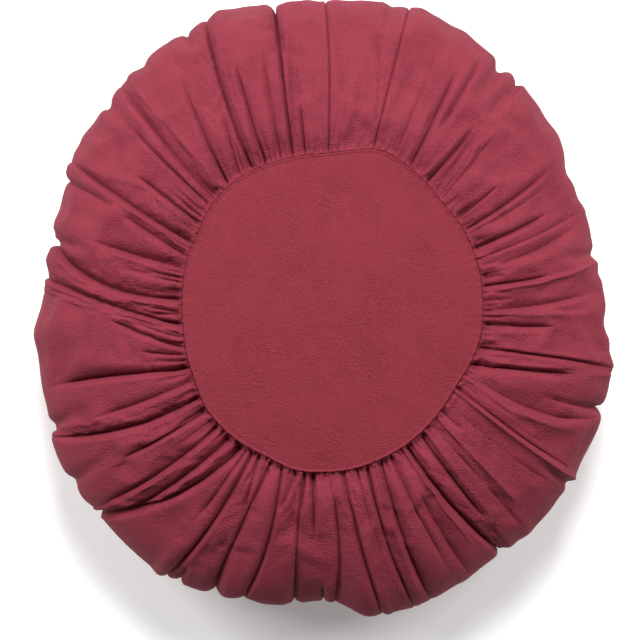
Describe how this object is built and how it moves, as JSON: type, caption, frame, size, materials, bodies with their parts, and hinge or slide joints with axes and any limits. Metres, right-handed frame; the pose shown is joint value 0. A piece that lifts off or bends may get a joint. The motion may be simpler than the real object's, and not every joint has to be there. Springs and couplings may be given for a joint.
{
  "type": "round throw pillow",
  "caption": "Round throw pillow in crinkled dark red cloth: a flat oval panel in the middle of each face and a wide gathered strip folded over the rim.",
  "frame": {"origin": "middle of the box around the pillow, on the floor that its back lies on", "axes": "+Z out of the face, +Y towards the top edge in the picture, +X to the right in the picture"},
  "size_m": [0.45, 0.48, 0.141],
  "materials": {
    "gathered_body": "matt crinkled cotton crepe, dyed dark raspberry red, gathered",
    "front_panel": "matt crinkled cotton crepe, dyed dark raspberry red, sewn flat",
    "back_panel": "matt crinkled cotton crepe, dyed dark raspberry red, sewn flat"
  },
  "bodies": {
    "root": {"gathered_body": "gathered_body", "front_panel": "front_panel", "back_panel": "back_panel"}
  },
  "joints": []
}
